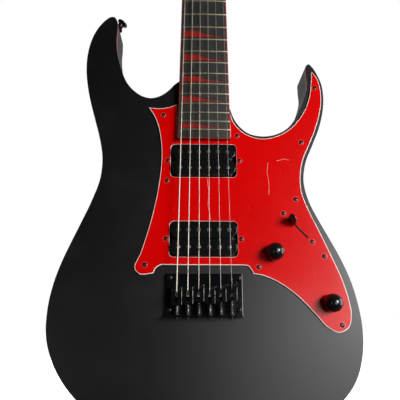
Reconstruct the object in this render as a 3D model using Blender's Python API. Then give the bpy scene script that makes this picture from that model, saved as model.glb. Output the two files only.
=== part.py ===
"""Electric guitar, upright and facing -Y, built from named pieces in metres.

The origin is on the centre line, at the nut end of the fretboard, on the flat front of the neck.
+Z runs up to the headstock, -X is the bass side. Dimensions below are in millimetres.
"""

import math

import bmesh
import bpy
import numpy as np
from mathutils import Matrix, Vector

MM = 0.001
SCALE_LENGTH = 648
FRETS = 24
GAP = 0.3

NUT_HALF_WIDTH = 21.0
NECK_TAPER = 0.0143
BOARD_END = 496
BOARD_THICKNESS = 6
BOARD_RADIUS = 400
BINDING = 1.6
FRET_HEIGHT = 1.1

BODY_FRONT = 3
BODY_BACK = 47
GROOVE_TOP, GROOVE_BOTTOM = 3.5, 8.5
POCKET_END = 491.5
POCKET_FLOOR = 16

GUARD_FRONT = 0.7
GUARD_BACK = 2.7
NECK_PICKUP = (-0.3, -518.7)
BRIDGE_PICKUP = (-0.3, -602.6)
VOLUME = (70, -616.4)
TONE = (123.2, -665.6)
SWITCH = (95.3, -590.4)
SWITCH_TURN = 46.7
SWITCH_PIVOT = 26
SWITCH_LEAN = 15.7

BRIDGE_TOP, BRIDGE_END = -637.5, -679.6
STRING_ROW = -657.5
SADDLE_FRONT = -11.2
SADDLE_ENDS = (-651.0, -650.0, -647.8, -649.8, -648.1, -646.5)
STRING_RADII = (0.58, 0.46, 0.33, 0.22, 0.17, 0.13)
BRIDGE_PITCH = 10.5
NUT_PITCH = 7.1
NUT_STRING = -7.7

HEAD_TILT = 13
HEAD_START = 5
HEAD_DROP = 1.0
HEAD_THICKNESS = 14
FIRST_POST, POST_STEP, POST_OFFSET = 28, 25, 3.1

JACK_Z, JACK_Y, JACK_FACE = -690, 25, 150.1
KEY_DEPTH, KEY_OFFSET = HEAD_THICKNESS + 4.9, -5.9
UPPER_STRAP_AXIS = (0.56, 0, 0.828)

# (x, z) points round each outline. A third value of 1 makes that point a sharp corner.
BODY_OUTLINE = (
    (-27.5, -423.5, 1), (-32.5, -427.6), (-39.1, -435.1), (-49.3, -442.4), (-58, -444.6), (-67, -442.7),
    (-77.1, -435.9), (-84.6, -427.3), (-90.4, -415.5), (-94.7, -402.3), (-98.2, -388), (-99.9, -372),
    (-99.7, -355), (-100.9, -344.6), (-104.3, -340.2), (-108.2, -340.2), (-113.8, -344.4), (-120.9, -353.6),
    (-127.2, -367.2), (-131.3, -386), (-131.8, -409), (-129, -430), (-124.2, -450.7), (-117.8, -472.3),
    (-111.4, -494.5), (-107.6, -515), (-108.4, -538), (-115.6, -562.5), (-124, -583.7), (-132.6, -604.4),
    (-140.8, -625.2), (-147.3, -647), (-151, -673), (-149.6, -699), (-142, -720.5), (-127, -742.8),
    (-104, -763), (-74, -776), (-38, -783.6), (0, -785.5), (36, -784.2), (70, -778.8), (100, -769.6),
    (126, -755.6), (142.6, -736), (150.6, -713), (152.8, -691), (151, -669), (145.3, -643.2),
    (137.3, -622), (128.3, -603.1), (117.9, -582.4), (109.2, -562.6), (104.9, -540), (107.6, -521.5),
    (116.5, -500), (124.6, -481), (130.2, -462), (132.8, -443), (131.2, -423.5), (126.4, -410.6),
    (122.5, -403.6), (118.7, -400.1), (115.7, -402.6), (115.1, -409), (115, -430), (111.6, -442.5),
    (104.7, -458.8), (99.2, -469.4), (90.5, -479.9), (78, -487), (63, -489.4), (48, -485.9),
    (38.5, -477.8), (33, -469.3), (28.8, -457.5, 1), (24, -452.5), (-21, -424),
)
GUARD_OUTLINE = (
    (-29, -452.8, 1), (-36.5, -456), (-45.2, -458), (-60, -457.3, 1), (-54, -466.7), (-49.4, -478.5),
    (-46.2, -493.5), (-44.7, -511), (-45.3, -531), (-47.9, -553), (-52, -575.4), (-57, -596.2),
    (-62.9, -616.6), (-68.1, -633.6), (-64.4, -637.5), (-50, -637.3, 1), (-47.4, -632), (-42.3, -628.9),
    (-37, -628.9, 1), (38, -628.9, 1), (43.6, -629.6), (47, -633.2), (49.2, -637.4, 1), (57.6, -638.7),
    (69.3, -643.4), (84.5, -652.8), (99.4, -666.5), (109.3, -677.6), (119.6, -688.6), (129.6, -692.9),
    (139, -688.2), (142.7, -676), (141.2, -661), (136.8, -643.5), (127.9, -620), (117.8, -595.5),
    (107, -570.2), (101.7, -553), (101.2, -538), (105, -517.6), (113, -499.5), (120.2, -482.9),
    (126.1, -465), (129.5, -446.8), (128.8, -428), (125.6, -417), (120.8, -410.9, 1), (119.6, -424),
    (116.4, -443.4), (110.4, -459.1), (102.5, -471.2), (90.7, -483.2), (77, -490.4), (63, -493),
    (50, -490.2), (39.4, -483.4), (32, -473.6), (28.8, -463.2, 1),
)
CONTROL_CAVITY = (
    (62, -600), (56, -606), (55, -620), (60, -630), (72, -637), (84, -644), (96, -655), (108, -668),
    (118, -680), (123, -686.5), (130, -688.5), (136, -685.5), (138.3, -677), (137, -662), (132.5, -647),
    (124.5, -634), (115.5, -625), (115, -616), (118.3, -607), (114, -594), (105, -575), (98, -566.5),
    (88, -562.5), (76, -567.5), (69, -580),
)
HEAD_OUTLINE = (
    (-20.6, -3, 1), (-21.8, 6), (-26.5, 13), (-36.6, 18.6), (-38.3, 22.6), (-33.7, 34.4), (2.6, 162.2),
    (8, 177), (19.5, 196, 1), (25.6, 178), (27.4, 158), (25.8, 130), (23.8, 90), (22.4, 40),
    (20.6, -3, 1),
)
GUARD_COLOUR = (0.62, 0.0, 0.004)

for old in list(bpy.data.objects):
    bpy.data.objects.remove(old, do_unlink=True)

guitar = bpy.data.collections.new("electric_guitar")
cutters = bpy.data.collections.new("cutters")
for group in (guitar, cutters):
    bpy.context.scene.collection.children.link(group)


def point(x, y, z):
    """Position in metres from millimetres."""
    return Vector((x, y, z)) * MM


def half_width(z):
    """Half the neck's width at height z."""
    return NUT_HALF_WIDTH + NECK_TAPER * abs(z)


def fret_height(number):
    """Height of a fret, from the scale length."""
    return -SCALE_LENGTH * (1 - 2 ** (-number / 12))


def smooth_path(points, steps):
    """Closed curve through points, with straight-ended spans at the sharp ones."""
    places = np.array([p[:2] for p in points], float)
    sharp = [len(p) > 2 for p in points]
    spans = np.roll(places, -1, axis=0) - places
    lengths = np.linalg.norm(spans, axis=1)
    tangents = []
    for i in range(len(places)):
        before, after = lengths[i - 1], lengths[i]
        tangents.append((spans[i - 1] / before * after + spans[i] / after * before) / (before + after))
    path = []
    for i, start in enumerate(places):
        j = (i + 1) % len(places)
        if sharp[i] and sharp[j]:
            path.append(tuple(start))
            continue
        leave = spans[i] if sharp[i] else tangents[i] * lengths[i]
        arrive = spans[i] if sharp[j] else tangents[j] * lengths[i]
        for k in range(steps):
            t = k / steps
            near = (2 * t**3 - 3 * t**2 + 1) * start + (t**3 - 2 * t**2 + t) * leave
            far = (3 * t**2 - 2 * t**3) * places[j] + (t**3 - t**2) * arrive
            path.append(tuple(near + far))
    return path


def inset(path, distance):
    """Closed path moved inwards by a distance, with the same number of points."""
    places = np.array(path)
    spans = np.roll(places, -1, axis=0) - places
    spans /= np.linalg.norm(spans, axis=1)[:, None]
    normals = np.stack([-spans[:, 1], spans[:, 0]], axis=1)
    area = np.sum(places[:, 0] * np.roll(places[:, 1], -1) - places[:, 1] * np.roll(places[:, 0], -1))
    mitres = normals + np.roll(normals, 1, axis=0)
    mitres /= np.maximum(np.sum(mitres**2, axis=1), 1)[:, None] / 2
    return [tuple(p) for p in places + np.sign(area) * distance * mitres]


def rounded_box(width, height, radius, centre=(0, 0), steps=4):
    """Path of a rectangle with round corners."""
    path = []
    for corner, (sx, sz) in enumerate(((1, 1), (-1, 1), (-1, -1), (1, -1))):
        for k in range(steps + 1):
            angle = math.pi / 2 * (corner + k / steps)
            x = centre[0] + sx * (width / 2 - radius) + radius * math.cos(angle)
            z = centre[1] + sz * (height / 2 - radius) + radius * math.sin(angle)
            path.append((x, z))
    return path


def circle(radius, centre=(0, 0), steps=16):
    """Path of a circle."""
    turns = [2 * math.pi * k / steps for k in range(steps)]
    return [(centre[0] + radius * math.cos(t), centre[1] + radius * math.sin(t)) for t in turns]


def plate(loops, front, back):
    """Mesh of a flat plate between two Y planes. Loops after the first are its holes."""
    curve = bpy.data.curves.new("plate", "CURVE")
    curve.dimensions = "2D"
    curve.fill_mode = "BOTH"
    curve.extrude = (back - front) / 2 * MM
    for loop in loops:
        spline = curve.splines.new("POLY")
        spline.points.add(len(loop) - 1)
        for place, (x, z) in zip(spline.points, loop):
            place.co = (x * MM, z * MM, 0, 1)
        spline.use_cyclic_u = True
    holder = bpy.data.objects.new("plate", curve)
    mesh = bpy.data.meshes.new_from_object(holder)
    bm = bmesh.new()
    bm.from_mesh(mesh)
    bmesh.ops.remove_doubles(bm, verts=bm.verts, dist=1e-6)
    stand = Matrix.Translation(point(0, (front + back) / 2, 0)) @ Matrix.Rotation(math.pi / 2, 4, "X")
    bmesh.ops.transform(bm, matrix=stand, verts=bm.verts)
    bpy.data.objects.remove(holder)
    bpy.data.curves.remove(curve)
    bpy.data.meshes.remove(mesh)
    return bm


def block(low, high):
    """Mesh of a box between two corners."""
    bm = bmesh.new()
    size = point(*high) - point(*low)
    middle = (point(*high) + point(*low)) / 2
    bmesh.ops.create_cube(bm, size=1, matrix=Matrix.Translation(middle) @ Matrix.Diagonal((*size, 1)))
    return bm


def turned(profile, segments=24):
    """Mesh made by turning (radius, height) points about the local Z axis."""
    bm = bmesh.new()
    verts = [bm.verts.new(point(radius, 0, height)) for radius, height in profile]
    edges = [bm.edges.new(pair) for pair in zip(verts, verts[1:])]
    if profile[0][0] > 0:
        edges.append(bm.edges.new((verts[-1], verts[0])))
    bmesh.ops.spin(
        bm, geom=verts + edges, cent=(0, 0, 0), axis=(0, 0, 1), angle=2 * math.pi, steps=segments,
        use_merge=True,
    )
    bmesh.ops.remove_doubles(bm, verts=bm.verts, dist=1e-6)
    return bm


def loft(rings):
    """Mesh of a skin through rings of points, closed with a flat face at each end."""
    bm = bmesh.new()
    rows = [[bm.verts.new(place) for place in ring] for ring in rings]
    for lower, upper in zip(rows, rows[1:]):
        for k in range(len(lower)):
            j = (k + 1) % len(lower)
            bm.faces.new((lower[k], lower[j], upper[j], upper[k]))
    bm.faces.new(rows[0])
    bm.faces.new(rows[-1])
    return bm


def moved(bm, matrix):
    """The same mesh, moved."""
    bmesh.ops.transform(bm, matrix=matrix, verts=bm.verts)
    return bm


def along(axis, place):
    """Matrix that turns local Z to an axis and moves the origin to a place in millimetres."""
    turn = Vector((0, 0, 1)).rotation_difference(Vector(axis)).to_matrix().to_4x4()
    return Matrix.Translation(point(*place)) @ turn


def gathered(meshes):
    """One mesh from several separate ones."""
    bm = bmesh.new()
    for other in meshes:
        mesh = bpy.data.meshes.new("piece")
        other.to_mesh(mesh)
        bm.from_mesh(mesh)
        bpy.data.meshes.remove(mesh)
    return bm


def put(name, bm, group, matrix):
    """Object from a mesh, shaded smooth except across its sharp edges."""
    bmesh.ops.recalc_face_normals(bm, faces=bm.faces)
    for face in bm.faces:
        face.smooth = True
    for edge in bm.edges:
        edge.smooth = edge.is_manifold and edge.calc_face_angle(0) < math.radians(32)
    mesh = bpy.data.meshes.new(name)
    bm.to_mesh(mesh)
    bm.free()
    obj = bpy.data.objects.new(name, mesh)
    obj.matrix_world = matrix
    group.objects.link(obj)
    return obj


def material(name, colour, roughness, metallic=0.0):
    """Plain shader for one kind of surface."""
    look = bpy.data.materials.new(name)
    look.use_nodes = True
    shader = look.node_tree.nodes["Principled BSDF"]
    shader.inputs["Base Color"].default_value = (*colour, 1)
    shader.inputs["Roughness"].default_value = roughness
    shader.inputs["Metallic"].default_value = metallic
    return look


def part(name, bm, colour, roughness, metallic=0.0, matrix=None):
    """One piece of the guitar, with its own material."""
    obj = put(name, bm, guitar, matrix or Matrix())
    obj.data.materials.append(material(name, colour, roughness, metallic))
    return obj


def shape(obj, bm, operation, label):
    """Cut or join a mesh, given in the same coordinates as the object, with a Boolean."""
    tool = put(f"{obj.name}_{label}", bm, cutters, obj.matrix_world)
    tool.hide_render = True
    tool.display_type = "WIRE"
    boolean = obj.modifiers.new(label, "BOOLEAN")
    boolean.object = tool
    boolean.operation = operation
    boolean.solver = "EXACT"


def cut(obj, bm, label):
    """Remove a mesh from an object."""
    shape(obj, bm, "DIFFERENCE", label)


def join(obj, bm, label):
    """Add a mesh to an object."""
    shape(obj, bm, "UNION", label)


BLACK = (0.012, 0.012, 0.013)
RED_EDGE = (0.45, 0.012, 0.016)
HEAD = Matrix.Translation(point(0, HEAD_DROP, HEAD_START)) @ Matrix.Rotation(math.radians(-HEAD_TILT), 4, "X")
BACKWARD = Matrix.Rotation(-math.pi / 2, 4, "X")
nut_slots = [(i - 2.5) * NUT_PITCH for i in range(6)]
saddle_lines = [(i - 2.5) * BRIDGE_PITCH for i in range(6)]

# Body: groove for the binding just behind its front face, back edge rounded over.
outline = smooth_path(BODY_OUTLINE, 2)
body_side = (
    (BODY_FRONT, 0.2), (BODY_FRONT + 0.2, 0), (GROOVE_TOP, 0), (GROOVE_TOP, 1.8), (GROOVE_BOTTOM, 1.8),
    (GROOVE_BOTTOM, 0), (44.6, 0), (46.4, 0.6), (BODY_BACK, 1.9),
)
body_rings = [[point(x, y, z) for x, z in inset(outline, depth)] for y, depth in body_side]
body = part("body", loft(body_rings), BLACK, 0.42)
pocket = [
    (-half_width(400) - GAP, -400), (half_width(400) + GAP, -400),
    (half_width(POCKET_END) + GAP, -POCKET_END), (-half_width(POCKET_END) - GAP, -POCKET_END),
]
belly = bmesh.new()
bmesh.ops.create_uvsphere(belly, u_segments=28, v_segments=16, radius=1)
tilted = Matrix.Translation(point(-122, 52, -572)) @ Matrix.Rotation(math.radians(14), 4, "Y")
cut(body, moved(belly, tilted @ Matrix.Diagonal((*point(64, 19, 128), 1))), "belly_cut")
cut(body, plate([pocket], -5, POCKET_FLOOR), "neck_pocket")
for label, (x, z) in (("neck", NECK_PICKUP), ("bridge", BRIDGE_PICKUP)):
    cut(body, block((x - 36.6, -5, z - 19.6), (x + 36.6, 22, z + 19.6)), f"{label}_pickup_cavity")
    cut(body, block((x - 42.2, -5, z - 7.5), (x + 42.2, 21.6, z + 7.5)), f"{label}_pickup_ears")
cut(body, plate([CONTROL_CAVITY], -5, 38), "control_cavity")
cut(body, block((-12, -5, -590), (12, 12, -530)), "pickup_channel")
cut(body, block((30, -5, -612), (66, 14, -601)), "control_channel")
string_hole = [(0, -10), (2.5, -10), (2.5, 42), (4, 42), (4, 60), (0, 60)]
string_holes = [
    moved(turned(string_hole, 10), Matrix.Translation(point(x, 0, STRING_ROW)) @ BACKWARD)
    for x in saddle_lines
]
cut(body, gathered(string_holes), "string_holes")
jack_bore = turned([(0, 0), (6.3, 0), (6.3, 44), (0, 44)], 20)
cut(body, moved(jack_bore, along((1, 0, 0), (112, JACK_Y, JACK_Z))), "jack_bore")
jack_recess = block((JACK_FACE, JACK_Y - 14.3, JACK_Z - 18.3), (170, JACK_Y + 14.3, JACK_Z + 18.3))
cut(body, jack_recess, "jack_recess")
strip = plate([outline, inset(outline, 1.5)], GROOVE_TOP + GAP, GROOVE_BOTTOM - GAP)
binding = part("body_binding", strip, RED_EDGE, 0.35)
cut(binding, plate([pocket], -5, POCKET_FLOOR), "neck_pocket")

# Neck: a C section that squares up at the nut and at the heel.
neck_rings = []
for z, depth, squareness in (
    (HEAD_START, 12.6, 7), (-6, 12.8, 4.5), (-22, 13.2, 2.9), (-50, 13.6, 2.3), (-160, 14.2, 2.3),
    (-324, 15, 2.3), (-392, 15.3, 2.4), (-414, 15.6, 3.2), (-426, 15.7, 7), (-434, 15.7, 20),
    (-POCKET_END + GAP, 15.7, 20),
):
    ring = []
    for k in range(17):
        angle = math.pi * k / 16
        side = math.copysign(abs(math.cos(angle)) ** (2 / squareness), math.cos(angle))
        ring.append(point(half_width(min(z, 0)) * side, depth * math.sin(angle) ** (2 / squareness), z))
    neck_rings.append(ring)
neck = part("neck", loft(neck_rings), (0.42, 0.24, 0.11), 0.45)
head = moved(plate([smooth_path(HEAD_OUTLINE, 4)], 0, HEAD_THICKNESS), HEAD)
join(neck, head, "headstock")
cut(neck, block((-3.4, -2, -455), (3.4, 9.9, 26)), "truss_rod_channel")
cut(neck, block((-5.6, -6, 7), (5.6, 11.2, 26)), "truss_rod_pocket")
post_places = [(x - POST_OFFSET, FIRST_POST + POST_STEP * i) for i, x in enumerate(nut_slots)]
post_hole = [(0, -10), (5, -10), (5, 30), (0, 30)]
post_holes = [
    moved(turned(post_hole, 16), HEAD @ Matrix.Translation(point(x, 0, v)) @ BACKWARD) for x, v in post_places
]
cut(neck, gathered(post_holes), "post_holes")

rod = [(0, -453), (3, -453), (3, 7.5), (3.9, 7.5), (3.9, 14), (0, 14)]
part("truss_rod", moved(turned(rod, 12), Matrix.Translation(point(0, 6.8, 0))), (0.45, 0.45, 0.46), 0.35, 1.0)
cover = [(-9, 2, 1), (9, 2, 1), (10.4, 8), (6, 24), (0, 33.5), (-6, 24), (-10.4, 8)]
part("truss_rod_cover", moved(plate([smooth_path(cover, 4)], -1.9, -GAP), HEAD), (0.02, 0.02, 0.02), 0.3)

# Fretboard: cambered board with its frets standing on it.
board_rings = []
stations = [(-0.2, 0)]
for number in range(1, FRETS + 1):
    z = fret_height(number)
    stations += [(z + 1.15, 0), (z + 0.6, FRET_HEIGHT), (z - 0.6, FRET_HEIGHT), (z - 1.15, 0)]
stations.append((-BOARD_END + BINDING + 2 * GAP, 0))
for z, raised in stations:
    width = half_width(z) - BINDING - 0.2
    across = [width * (1 - k / 3) for k in range(7)]
    top = [point(x, -BOARD_THICKNESS + x * x / (2 * BOARD_RADIUS) - raised, z) for x in across]
    board_rings.append([point(width, -GAP, z), *top, point(-width, -GAP, z)])
part("fretboard", loft(board_rings), (0.05, 0.04, 0.035), 0.5)
board_strip = [
    (half_width(0), 0), (half_width(BOARD_END), -BOARD_END), (-half_width(BOARD_END), -BOARD_END),
    (-half_width(0), 0), (-half_width(0) + BINDING, 0),
    (-half_width(BOARD_END) + BINDING, -BOARD_END + BINDING),
    (half_width(BOARD_END) - BINDING, -BOARD_END + BINDING), (half_width(0) - BINDING, 0),
]
part("fretboard_binding", plate([board_strip], -5.1, -GAP), RED_EDGE, 0.4)

nut = part("nut", block((-21, -8.5, GAP), (21, -GAP, HEAD_START - 0.4)), (0.02, 0.02, 0.02), 0.4)
slots = [
    block((x - 0.8, -10, -2), (x + 0.8, NUT_STRING + radius + 0.1, 8))
    for x, radius in zip(nut_slots, STRING_RADII)
]
cut(nut, gathered(slots), "string_slots")

heel_plate = [(-24, -434), (24, -462.5), (24, -497), (-24, -497)]
part("neck_plate", plate([heel_plate], BODY_BACK + GAP, BODY_BACK + 2.2), (0.03, 0.03, 0.03), 0.3, 0.9)

# Pickguard with its openings.
guard = smooth_path(GUARD_OUTLINE, 3)
heel_side = half_width(POCKET_END) + GAP
guard += [(heel_side, -POCKET_END), (-heel_side, -POCKET_END)]
turn = math.radians(SWITCH_TURN)
lever_slot = [
    (SWITCH[0] + x * math.cos(turn) + z * math.sin(turn), SWITCH[1] - x * math.sin(turn) + z * math.cos(turn))
    for x, z in rounded_box(29.2, 1.8, 0.85, steps=2)
]
openings = [
    rounded_box(69.4, 36.8, 4.5, NECK_PICKUP), rounded_box(68.8, 36.4, 4.5, BRIDGE_PICKUP),
    circle(4.9, VOLUME), circle(4.9, TONE), lever_slot,
]
part("pickguard", plate([guard, *openings], GUARD_FRONT, GUARD_BACK), GUARD_COLOUR, 0.25)

# Pickups: bobbins over a base that hangs from its two height screws.
for label, (x, z) in (("neck", NECK_PICKUP), ("bridge", BRIDGE_PICKUP)):
    place = Matrix.Translation(point(x, 0, z))
    bottom = plate([rounded_box(66.8, 34.4, 3)], 8.4, 9.4)
    bobbins = part(f"{label}_pickup_bobbins", bottom, BLACK, 0.3, matrix=place)
    for side, centre in (("upper", 8.7), ("lower", -8.7)):
        join(bobbins, plate([rounded_box(61, 13, 6, (0, centre))], -1.4, 8.8), f"{side}_coil")
        join(bobbins, plate([rounded_box(66.6, 16.8, 8, (0, centre))], -2.8, -1.2), f"{side}_flange")
    base_plate = plate([rounded_box(67.4, 35, 2)], 9.7, 10.9)
    base = part(f"{label}_pickup_base", base_plate, BLACK, 0.4, 0.8, matrix=place)
    ears = plate([rounded_box(82, 12, 3), circle(1.6, (-37.9, 0), 12), circle(1.6, (37.9, 0), 12)], 9.6, 11)
    join(base, ears, "ears")

# Volume and tone: pot with bushing and nut, shaft and knob. Profiles are (radius, Y).
pot = [
    (0, 14), (12, 14), (12, 3.4), (4.6, 3.4), (4.6, 0.3), (6.8, 0.3), (6.8, -1.9), (3.3, -1.9), (3.3, 12.6),
    (0, 12.6),
]
pot_shaft = [(0, 12.2), (3, 12.2), (3, -13.4), (0, -13.4)]
knob = [
    (0, -17.4), (2.6, -17.1), (5, -16.1), (7, -14.4), (8.2, -12), (8.7, -9.4), (8.8, -6), (8.8, -0.9),
    (8.4, -0.2), (7.5, -0.2), (7.5, -3), (3.3, -3), (3.3, -13.8), (0, -13.8),
]
for label, (x, z) in (("volume", VOLUME), ("tone", TONE)):
    place = Matrix.Translation(point(x, 0, z)) @ BACKWARD
    part(f"{label}_pot", turned(pot, 18), (0.4, 0.4, 0.4), 0.35, 1.0, place)
    part(f"{label}_shaft", turned(pot_shaft, 16), (0.5, 0.5, 0.5), 0.3, 1.0, place)
    part(f"{label}_knob", turned(knob, 24), (0.01, 0.01, 0.01), 0.18, 0.6, place)

# Blade switch: local +X runs along its slot, towards the tone knob.
switch = Matrix.Translation(point(SWITCH[0], 0, SWITCH[1])) @ Matrix.Rotation(turn, 4, "Y")
frame = part("switch_frame", block((-24, 3.1, -4.6), (24, 4.3, 4.6)), (0.35, 0.35, 0.35), 0.4, 1.0, switch)
cut(frame, block((-15.6, 0, -1.6), (15.6, 8, 1.6)), "lever_slot")
join(frame, block((-20, 4, 2.2), (20, 30, 4.4)), "side")
lean = Matrix.Rotation(math.radians(-SWITCH_LEAN), 4, "Z")
pivot = switch @ Matrix.Translation(point(0, SWITCH_PIVOT, 0)) @ lean
lever = part("switch_lever", block((-2, -31.5, -0.6), (2, 0, 0.6)), (0.4, 0.4, 0.4), 0.3, 1.0, pivot)
join(lever, turned([(0, -1.9), (4.5, -1.9), (4.5, 1.9), (0, 1.9)], 16), "hub")
tip_sizes = ((-28, 9.4, 5.4), (-32, 9.8, 5.6), (-38, 8.2, 4.8), (-41.6, 6.2, 3.8), (-42.6, 4, 2.4))
tip_rings = [
    [point(x, y, z) for x, z in rounded_box(width, thick, min(width, thick) / 2.5)]
    for y, width, thick in tip_sizes
]
tip = part("switch_tip", loft(tip_rings), (0.01, 0.01, 0.01), 0.2, matrix=pivot)
cut(tip, block((-2.3, -31.8, -0.9), (2.3, -20, 0.9)), "lever_socket")

# Bridge: plate with an upturned rear lip, and six saddles with a slot for the string.
BRIDGE_COLOUR = (0.015, 0.015, 0.016)
bridge_side = [
    (GUARD_BACK, BRIDGE_TOP), (-0.3, BRIDGE_TOP), (-0.8, BRIDGE_TOP - 0.5), (-0.8, BRIDGE_END + 2.5),
    (-7.9, BRIDGE_END + 2.5), (-8.2, BRIDGE_END + 2.2), (-8.2, BRIDGE_END), (GUARD_BACK, BRIDGE_END),
]
bridge_rings = [[point(x, y, z) for y, z in bridge_side] for x in (-37.5, 37.5)]
bridge = part("bridge_plate", loft(bridge_rings), BRIDGE_COLOUR, 0.3, 0.7)
hole_places = [(x, STRING_ROW) for x in saddle_lines]
hole_places += [(-33.8, -641.6), (33.8, -641.6), (-33.8, -672), (33.8, -672)]
plate_hole = [(0, -10), (2, -10), (2, 10), (0, 10)]
plate_holes = [
    moved(turned(plate_hole, 10), Matrix.Translation(point(x, 0, z)) @ BACKWARD) for x, z in hole_places
]
cut(bridge, gathered(plate_holes), "screw_and_string_holes")
lip_hole = [(0, -5), (1.6, -5), (1.6, 5), (0, 5)]
lip_holes = [
    moved(turned(lip_hole, 10), Matrix.Translation(point(x, -5, BRIDGE_END + 1))) for x in saddle_lines
]
cut(bridge, gathered(lip_holes), "lip_holes")
saddle_side = [
    (-1.1, -0.4), (-10.6, 0), (-11, -0.3), (SADDLE_FRONT, -1), (SADDLE_FRONT, -17), (-10.4, -17.6),
    (-1.1, -17.6),
]
for i, (x, z) in enumerate(zip(saddle_lines, SADDLE_ENDS)):
    place = Matrix.Translation(point(x, 0, z))
    saddle_rings = [[point(side, y, height) for y, height in saddle_side] for side in (-5.05, 5.05)]
    saddle = part(f"saddle_{i + 1}", loft(saddle_rings), BRIDGE_COLOUR, 0.28, 0.7, place)
    cut(saddle, block((-1.2, -20, -14.8), (1.2, 5, -1.8)), "string_slot")
    screw_hole = turned([(0, -20), (1.35, -20), (1.35, -10), (0, -10)], 12)
    cut(saddle, moved(screw_hole, Matrix.Translation(point(0, -5, 0))), "screw_hole")

# Strings: over the saddle and nut to the waist of the post.
for i, radius in enumerate(STRING_RADII):
    post_v = post_places[i][1]
    top = HEAD @ point(nut_slots[i], -5.4, post_v)
    past = HEAD @ point(nut_slots[i], -5.4, post_v + 1.5)
    over = SADDLE_FRONT - radius - 0.15
    path = [
        (saddle_lines[i], 43.5, STRING_ROW), (saddle_lines[i], -4.5, STRING_ROW),
        (saddle_lines[i], -6.6, STRING_ROW + 0.5), (saddle_lines[i], over + 0.7, SADDLE_ENDS[i] - 5.4),
        (saddle_lines[i], over, SADDLE_ENDS[i] - 4.2), (nut_slots[i], NUT_STRING, GAP),
        (nut_slots[i], NUT_STRING, HEAD_START - 0.4),
    ]
    curve = bpy.data.curves.new(f"string_{i + 1}", "CURVE")
    curve.dimensions = "3D"
    curve.bevel_depth = radius * MM
    curve.bevel_resolution = 2
    curve.use_fill_caps = True
    spline = curve.splines.new("POLY")
    places = [point(*p) for p in path] + [top, past]
    spline.points.add(len(places) - 1)
    for knot, place in zip(spline.points, places):
        knot.co = (*place, 1)
    curve.materials.append(material(f"string_{i + 1}", (0.62, 0.56, 0.48), 0.3, 1.0))
    guitar.objects.link(bpy.data.objects.new(f"string_{i + 1}", curve))

# Tuners: local -X points to the bass side, +Y to the back and +Z along the row of posts.
row = math.atan2(NUT_PITCH, POST_STEP)
post = [(0, -13.5), (2.6, -13.5), (3, -13), (3, -8), (2.4, -7), (2.4, -3.4), (3, -2.4), (3, 20), (0, 20)]
sleeve = [(6.4, -1.9), (6.4, -GAP), (4.7, -GAP), (4.7, 15), (3.3, 15), (3.3, -1.9)]
worm_bore = [(0, 5), (2.4, 5), (2.4, 12), (0, 12)]
key_shaft = [(0, 5.4), (2, 5.4), (2, 9.4), (3.4, 9.4), (3.4, 11), (2, 12), (2, 19), (0, 19)]
button_sizes = ((17.6, 7, 5), (19, 15, 6), (22, 20, 6.8), (26, 20, 6.6), (29, 15.5, 5.4), (30.2, 9, 3.4))
button_rings = [
    [point(a, b, height) for a, b in rounded_box(thick, wide, min(wide, thick) / 2.2, steps=2)]
    for height, wide, thick in button_sizes
]
key_line = Matrix.Translation(point(0, KEY_DEPTH, KEY_OFFSET)) @ Matrix.Rotation(-math.pi / 2, 4, "Y")
for i, (x, v) in enumerate(post_places):
    tuner = HEAD @ Matrix.Translation(point(x, 0, v)) @ Matrix.Rotation(row, 4, "Y")
    case = plate([rounded_box(18, 15.5, 3, (0, -1.4), 2), circle(3.3, steps=12)], HEAD_THICKNESS + GAP,
                 HEAD_THICKNESS + 9.5)
    housing = part(f"tuner_housing_{i + 1}", case, (0.02, 0.02, 0.022), 0.25, 0.8, tuner)
    join(housing, moved(turned(sleeve, 12), BACKWARD), "sleeve")
    cut(housing, moved(turned(worm_bore, 10), key_line), "key_bore")
    part(f"tuner_post_{i + 1}", turned(post, 12), (0.05, 0.05, 0.055), 0.25, 0.9, tuner @ BACKWARD)
    key = part(f"tuner_key_{i + 1}", turned(key_shaft, 10), (0.02, 0.02, 0.022), 0.22, 0.8, tuner @ key_line)
    join(key, loft(button_rings), "button")

# Output jack: plate in its recess, and a socket that the plug goes into from the treble side.
jack = Matrix.Translation(point(JACK_FACE, JACK_Y, JACK_Z)) @ Matrix.Rotation(math.pi / 2, 4, "Z")
jack_cover = plate([rounded_box(28, 36, 4), circle(6.1, steps=20)], 0, 1.5)
jack_centre = Matrix.Translation(point(0, -1.8, 0))
part("jack_plate", jack_cover, (0.03, 0.03, 0.03), 0.3, 0.8, jack @ jack_centre)
socket = [
    (3.3, 4.4), (5.6, 4.4), (5.6, 4), (7.6, 4), (7.6, 2.1), (5.7, 2.1), (5.7, -28), (3, -28), (3, -26.8),
    (3.3, -26.6),
]
jack_line = along((1, 0, 0), (JACK_FACE, JACK_Y, JACK_Z))
part("jack_socket", turned(socket, 20), (0.25, 0.25, 0.26), 0.3, 1.0, jack_line)

# Strap buttons, square to the body's edge.
peg = [
    (0, 0.3), (5.9, 0.3), (5.6, 1.8), (3.8, 3.6), (3.5, 6.3), (4.9, 8.1), (6.5, 9), (6.5, 10.3), (5.4, 10.8),
    (0, 10.8),
]
for name, axis, place in (
    ("strap_button_upper", UPPER_STRAP_AXIS, (-103.74, 25, -340.5)),
    ("strap_button_lower", (0, 0, -1), (0, 25, -785.5)),
):
    part(name, turned(peg, 20), (0.02, 0.02, 0.02), 0.25, 0.8, along(axis, place))
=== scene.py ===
"""Looks of the electric guitar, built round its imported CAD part.

Sizes are in millimetres unless a name says otherwise.
"""

import math

import bmesh
import bpy
import numpy as np
from mathutils import Matrix, Vector


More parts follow.
